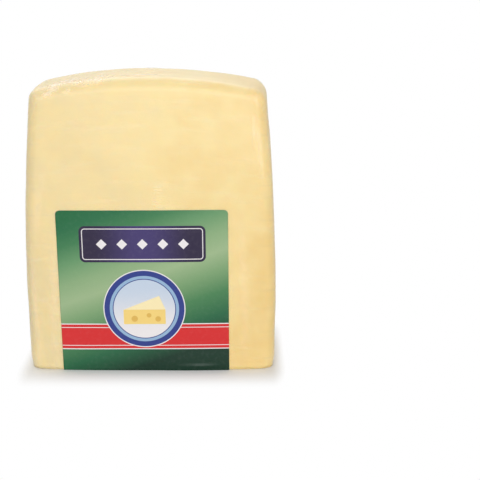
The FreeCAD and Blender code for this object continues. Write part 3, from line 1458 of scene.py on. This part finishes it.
@dataclass
class Film:
    """The clear wrap: shrunk tight, creased at the end's corners, lapped down the back."""

    form: LoafForm
    thickness: float = 0.06 * MM
    clear_of_floor: float = 0.05 * MM
    lap_half: float = 6.0 * MM
    lap_height: float = 0.22 * MM
    lap_fade: float = 0.8 * MM
    lap_milk: float = 0.25
    fan_turns: tuple[float, float] = (-80.0, 95.0)
    streak_count: int = 24
    rung_count: int = 8
    seed: int = 21
    finish: FilmFinish = FilmFinish()

    @property
    def top_edge(self) -> float:
        """The chart's distance along at which the wall ends and the rounding begins."""
        return self.form.height - self.form.edge

    def fan(
        self, random: np.random.Generator, around: float, count: int, reach: float
    ) -> list[Crease]:
        """Folds gathered about one of the end's corners.

        Their middles fan out from the corner towards lower distances around, and each fold
        slopes up as much as its own ray slopes down. Those of the front's left corner are
        mirrored, so that both front corners have theirs on the front face.

        Args:
            random: The source of unevenness.
            around: Where the corner is on the chart.
            count: How many folds.
            reach: The longest fold's length.

        Returns:
            The folds.
        """
        mirrored = -self.form.width / 2 < around < 0
        side = -1.0 if mirrored else 1.0
        folds = []
        for turn in np.linspace(*self.fan_turns, count) + random.normal(0, 7, count):
            length = reach * random.uniform(0.45, 1.0)
            away = length * 0.42
            angle = math.radians(turn)
            folds.append(
                Crease(
                    around=around + side * -away * math.cos(angle),
                    along=self.top_edge + 3 * MM - away * math.sin(angle),
                    length=length,
                    width=random.uniform(0.35, 0.7) * MM,
                    height=random.uniform(0.10, 0.28) * MM,
                    turn=turn if mirrored else 180 - turn,
                    bow=random.normal(0, 0.6) * MM,
                    milk=0.2,
                )
            )
        return folds

    def streaks(self, random: np.random.Generator) -> list[Crease]:
        """Short flat milky folds over the end's front edge, most of them at its left; their white
        is partly clouding and partly a painted highlight of their glints.

        Those further past the edge are broader.

        Args:
            random: The source of unevenness.

        Returns:
            The folds.
        """
        folds = []
        for _ in range(self.streak_count):
            share = random.beta(1.0, 1.9)
            past = random.uniform(3, 20)
            folds.append(
                Crease(
                    around=(-67 + 46 * share) * MM,
                    along=self.top_edge + past * MM,
                    length=random.uniform(5, 11) * MM,
                    width=random.uniform(0.8, 1.3) * (1 + past / 8) * MM,
                    height=random.uniform(0.05, 0.13) * MM,
                    turn=random.normal(0, 4),
                    bow=random.normal(0, 0.3) * MM,
                    milk=random.uniform(0.5, 1.0),
                )
            )
        return folds

    def ladder(self, random: np.random.Generator) -> list[Crease]:
        """A ladder of tiny ripples above the label, where the film was caught as it shrank.

        Args:
            random: The source of unevenness.

        Returns:
            The folds, from the lowest up.
        """
        # The rungs keep the folds' usual milky white, which paints their small highlights.
        return [
            Crease(
                around=(6.5 + random.normal(0, 0.7) - 0.18 * rung) * MM,
                along=(102.5 + 1.75 * rung) * MM,
                length=random.uniform(4.5, 8.0) * MM,
                width=0.42 * MM,
                height=random.uniform(0.05, 0.10) * MM,
                turn=random.normal(-4, 4),
            )
            for rung in range(self.rung_count)
        ]

    def creases(self) -> list[Crease]:
        """Lists every fold in the film, the same each time.

        Returns:
            The folds.
        """
        random = np.random.default_rng(self.seed)
        front = self.form.width / 2 - 2 * MM
        back = self.form.width / 2 + self.form.depth - self.form.edge
        folds = self.fan(random, -front, 8, 17 * MM)
        folds += self.fan(random, front, 8, 15 * MM)
        folds += self.fan(random, back, 7, 18 * MM)
        folds += self.fan(random, -back, 7, 18 * MM)
        folds += self.streaks(random) + self.ladder(random)
        edge = self.top_edge / MM
        # The broad milky fold over the middle of the edge paints the highlight along the end's
        # front edge.
        over_the_edge = [
            Crease.in_mm(-6, edge + 17, 38, 1.6, 0.10, turn=0.6, bow=0.2, milk=0.9),
            Crease.in_mm(-31, edge + 6.5, 22, 0.6, 0.25, turn=1.5, bow=0.3),
            Crease.in_mm(28, edge + 5.8, 30, 0.6, 0.14, turn=-1.0, bow=0.2),
        ]
        # Their milky white paints the light lines down the rounding of the right edge.
        down_the_right_edge = [
            Crease.in_mm(69.5, 142, 34, 1.1, 0.16, turn=92.0, bow=0.4),
            Crease.in_mm(67.0, 152, 24, 1.0, 0.12, turn=88.0, bow=0.2),
        ]
        beside_the_label = [
            Crease.in_mm(-57.5, 42, 120, 2.2, 0.05, turn=89.0, bow=0.8, milk=0.22),
            Crease.in_mm(-70.5, 40, 100, 1.6, 0.05, turn=91.0, bow=-0.6, milk=0.26),
            Crease.in_mm(-66.0, 108, 46, 2.4, 0.06, turn=84.0, bow=1.0, milk=0.20),
            Crease.in_mm(56.0, 52, 110, 2.4, 0.05, turn=91.0, bow=-0.8, milk=0.20),
        ]
        return folds + over_the_edge + down_the_right_edge + beside_the_label

    def build(self) -> bpy.types.Object:
        """Makes the wrap with its folds and back lap, and gives it its thickness.

        The film is lifted by the highest fold at each place, and by the lap on top of that.

        Returns:
            The film.
        """
        edge = self.top_edge
        maker = SkinMaker(
            self.form,
            spacing=2.8 * MM,
            fine_around=(
                FineStretch(-75 * MM, -20 * MM, 0.75 * MM),
                FineStretch(1 * MM, 12 * MM, 0.7 * MM),
                FineStretch(58 * MM, 75 * MM, 0.75 * MM),
            ),
            fine_along=(
                FineStretch(100 * MM, 117 * MM, 0.6 * MM),
                FineStretch(edge - 18 * MM, edge, 0.75 * MM),
            ),
        )
        skin = maker.make()
        around, along = skin.charts()
        lift, folds = np.zeros_like(around), np.zeros_like(around)
        for crease in self.creases():
            share = crease.at(around, along, skin.girth)
            lift = np.maximum(lift, crease.height * share)
            folds = np.maximum(folds, crease.milk * share)
        seam = skin.girth / 2 - np.abs(around)
        lap = smooth_step(seam, self.lap_half + self.lap_fade, self.lap_half)
        folds = np.clip(folds + self.lap_milk * lap, 0, 1)
        points = skin.displaced(lift + self.lap_height * lap - self.thickness)
        points[0, :, 2] = self.clear_of_floor
        piece = skin_piece("film", skin, points, closed_foot=False)
        add_values(piece, "folds", folds)
        thicken(piece, self.thickness)
        return piece

    def dress(self, piece: bpy.types.Object) -> None:
        """Gives the film its finish and ties it to the model.

        Args:
            piece: The film.
        """
        piece.data.materials.append(self.finish.material())
        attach(piece, BODY)
        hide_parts("cheese_block")


@dataclass
class Label:
    """The printed sticker, cut off at its foot with the loaf."""

    form: LoafForm
    thickness: float = 0.14 * MM
    corner: float = 2.4 * MM
    lean_deg: float = 0.3
    clear_of_film: float = 0.04 * MM
    columns: int = 161
    bubbles: int = 16
    bubble_place: tuple[tuple[float, float], ...] = ((-46 * MM, 46 * MM), (8 * MM, 96 * MM))
    bubble_size: tuple[float, float] = (0.7 * MM, 1.3 * MM)
    bubble_height: tuple[float, float] = (0.05 * MM, 0.12 * MM)
    seed: int = 5
    printed: PrintFinish = PrintFinish()
    edge: PaperFinish = PaperFinish()

    def relief(self, across: Array, up: Array) -> Array:
        """The sticker's own unevenness: small bubbles, and two slack places along its foot.

        Each bubble is a bell round its middle. The slack places are long bells that fade within
        a few millimetres above the cut.

        Args:
            across: Distances from the label's middle line.
            up: Distances from its foot.

        Returns:
            How far the sticker stands off the film.
        """
        random = np.random.default_rng(self.seed)

        def bell(x: float, y: float, wide: float, tall: float) -> Array:
            """A bell of height 1 about a spot, of this width and height."""
            return np.exp(-(((across - x) / wide) ** 2) - ((up - y) / tall) ** 2)

        out = np.zeros_like(across)
        for _ in range(self.bubbles):
            x, y = (random.uniform(*limits) for limits in self.bubble_place)
            size = random.uniform(*self.bubble_size)
            out = np.maximum(out, random.uniform(*self.bubble_height) * bell(x, y, size, size))
        slack = 0.55 * MM * bell(33 * MM, 2.6 * MM, 9 * MM, 1.3 * MM)
        tug = 0.15 * MM * bell(-20 * MM, 1.2 * MM, 16 * MM, 1.1 * MM)
        return out + slack + tug

    def build(self) -> bpy.types.Object:
        """Makes the sheet on the front face and gives it its thickness.

        Each row's half width is the label's, less what its rounded top corners take away, and
        the rows rise from the cut to the top edge. The sheet leans by a small turn about the
        middle of its foot.

        Returns:
            The label.
        """
        low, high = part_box("label")
        lean = math.radians(self.lean_deg)
        half = (high.x - low.x) / 2 / (math.cos(lean) + math.sin(lean) / 2)
        tall = high.z - half * math.sin(lean)
        middle_x = (low.x + high.x) / 2 + tall * math.sin(lean) / 2
        share = np.linspace(-1, 1, self.columns)
        rows = spaced(0, 1, 1 / 110, (FineStretch(0, 0.06, 1 / 220), FineStretch(0.96, 1, 1 / 260)))
        rise = np.maximum(rows * tall - (tall - self.corner), 0)
        row_half = half - self.corner + np.sqrt(np.maximum(self.corner**2 - rise**2, 0))
        across = share[None, :] * row_half[:, None]
        foot = -across * math.tan(lean)
        up = foot + rows[:, None] * (tall - foot)
        x = middle_x + across * math.cos(lean) - up * math.sin(lean)
        z = across * math.sin(lean) + up * math.cos(lean)
        y = self.form.middle_y - self.form.face_depth(x, z)
        flat = np.stack([x, y, z], -1)
        out = self.form.relief(flat) + self.clear_of_film + self.relief(across, up)
        points = flat - np.array([0.0, 1.0, 0.0]) * out[..., None]
        cells = grid_faces(*across.shape, closed=False)
        uv = np.stack([across, up], -1).reshape(-1, 2)[cells.ravel()]
        piece = add_piece("printed_label", points, cells.tolist(), uv)
        thicken(piece, self.thickness).material_offset_rim = 1
        return piece

    def dress(self, piece: bpy.types.Object) -> None:
        """Prints the label's face, leaves its edge white and ties it to the model.

        Args:
            piece: The label.
        """
        piece.data.materials.append(self.printed.material())
        piece.data.materials.append(self.edge.material())
        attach(piece, BODY)
        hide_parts("label")


# ---------------------------------------------------------------- the studio


@dataclass(frozen=True)
class SoftBox:
    """A large soft lamp: its place from the loaf's middle, its width and height, its power."""

    name: str
    offset: tuple[float, float, float]
    size: tuple[float, float]
    watts: float

    def place(self, middle: Vector) -> None:
        """Adds the lamp, turned towards the loaf's middle.

        Args:
            middle: The loaf's middle.
        """
        data = bpy.data.lights.new(self.name, "AREA")
        data.shape = "RECTANGLE"
        data.size, data.size_y = self.size
        data.energy = self.watts
        lamp = bpy.data.objects.new(self.name, data)
        lamp.location = middle + Vector(self.offset)
        lamp.rotation_euler = (middle - lamp.location).to_track_quat("-Z", "Y").to_euler()
        bpy.context.scene.collection.objects.link(lamp)


@dataclass
class Studio:
    """A white floor, soft lamps and the camera.

    The floor fades to plain white over shadow_reach round the footing, along x and y, and its
    tone goes from near to far beyond that. Both fades are in lengths of that reach.
    """

    camera_at: tuple[float, float, float] = (53.2 * MM, -592.5 * MM, 242.7 * MM)
    camera_tip_deg: float = 74.0
    lens: float = 75.0
    lamps: tuple[SoftBox, ...] = (
        SoftBox("key", (0.22, -1.16, 0.36), (1.5, 1.0), 9.6),
        SoftBox("back", (-0.35, 0.80, 1.05), (1.6, 1.2), 7.0),
    )
    sky_colour: Colour = (1.0, 0.995, 0.985, 1.0)
    sky_strength: float = 0.50
    floor_half: float = 6.0
    floor_near: Colour = (0.88, 0.88, 0.88, 1.0)
    floor_far: Colour = (0.64, 0.64, 0.64, 1.0)
    floor_grain: float = 0.2
    floor_grain_scale: float = 40.0
    floor_fade: tuple[float, float] = (0.05, 1.0)
    tone_fade: tuple[float, float] = (1.1, 3.0)
    footing: tuple[float, float] = (72 * MM, 28 * MM)
    shadow_reach: tuple[float, float] = (10 * MM, 31 * MM)

    def camera(self) -> None:
        """Places the camera."""
        data = bpy.data.cameras.new("camera")
        data.lens = self.lens
        camera = bpy.data.objects.new("camera", data)
        camera.location = self.camera_at
        camera.rotation_euler = (math.radians(self.camera_tip_deg), 0.0, 0.0)
        bpy.context.scene.collection.objects.link(camera)
        bpy.context.scene.camera = camera

    def looked_at(self, desk: Desk) -> Socket:
        """Gives 1 for what the camera sees, straight or by way of gloss or glass.

        Args:
            desk: Where to add nodes.

        Returns:
            The share's socket.
        """
        path = desk.add("ShaderNodeLightPath").outputs
        both = desk.math("MAXIMUM", path["Is Camera Ray"], path["Is Glossy Ray"])
        return desk.math("MAXIMUM", both, path["Is Transmission Ray"])

    def floor(self) -> None:
        """Lays the floor, which keeps the loaf's shadow and looks plain white away from it."""
        size = self.floor_half
        mesh = bpy.data.meshes.new("floor")
        corners = [(-size, -size, 0), (size, -size, 0), (size, size, 0), (-size, size, 0)]
        mesh.from_pydata(corners, [], [[0, 1, 2, 3]])
        floor = bpy.data.objects.new("floor", mesh)
        bpy.context.scene.collection.objects.link(floor)
        material, desk = new_material("floor")
        place = desk.add("ShaderNodeTexCoord").outputs["Object"]
        ways = []
        for value, half, reach in zip(desk.split(place), self.footing, self.shadow_reach):
            out = desk.math("SUBTRACT", desk.math("ABSOLUTE", value), half)
            ways.append(desk.math("MULTIPLY", desk.math("MAXIMUM", out, 0.0), 1 / reach))
        far = desk.length(*ways)
        grain = desk.noise(place, self.floor_grain_scale, 2.0)
        uneven = desk.math("MULTIPLY_ADD", grain, self.floor_grain, far)
        beyond = desk.between(uneven, *self.tone_fade)
        tone = desk.mix(beyond, self.floor_near, self.floor_far)
        plain = desk.add("ShaderNodeBsdfDiffuse", Color=tone).outputs[0]
        white = desk.add("ShaderNodeEmission", Color=(1.0, 1.0, 1.0, 1.0), Strength=1.0).outputs[0]
        away = desk.between(far, *self.floor_fade)
        seen = desk.math("MULTIPLY", away, self.looked_at(desk))
        desk.finish(desk.over(plain, white, seen))
        mesh.materials.append(material)

    def sky(self) -> None:
        """Surrounds the scene with a soft even light that looks white."""
        world = bpy.data.worlds.new("studio")
        world.use_nodes = True
        bpy.context.scene.world = world
        desk = Desk(world.node_tree)
        plain, white = (
            desk.add("ShaderNodeBackground", Color=colour, Strength=strength).outputs[0]
            for colour, strength in (
                (self.sky_colour, self.sky_strength),
                ((1.0, 1.0, 1.0, 1.0), 1.0),
            )
        )
        shader = desk.over(plain, white, self.looked_at(desk))
        desk.add("ShaderNodeOutputWorld", Surface=shader)

    def build(self, middle: Vector) -> None:
        """Sets everything up.

        Args:
            middle: The loaf's middle, at which the lamps point.
        """
        self.camera()
        self.floor()
        self.sky()
        for lamp in self.lamps:
            lamp.place(middle)
        bpy.context.scene.view_settings.view_transform = "Standard"


def main() -> None:
    """Builds the cheese, its film and its label, and the studio round them."""
    logging.basicConfig(level=logging.INFO, format="%(message)s")
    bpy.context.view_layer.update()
    build_effects()
    form = LoafForm.from_frame()
    Studio().build(Vector((0.0, 0.0, form.height / 2)))
    for part in (Cheese(form), Film(form), Label(form)):
        piece = part.build()
        part.dress(piece)
        mesh = piece.data
        LOG.info("%s: %d vertices, %d faces", piece.name, len(mesh.vertices), len(mesh.polygons))
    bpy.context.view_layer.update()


if __name__ == "__main__":
    main()
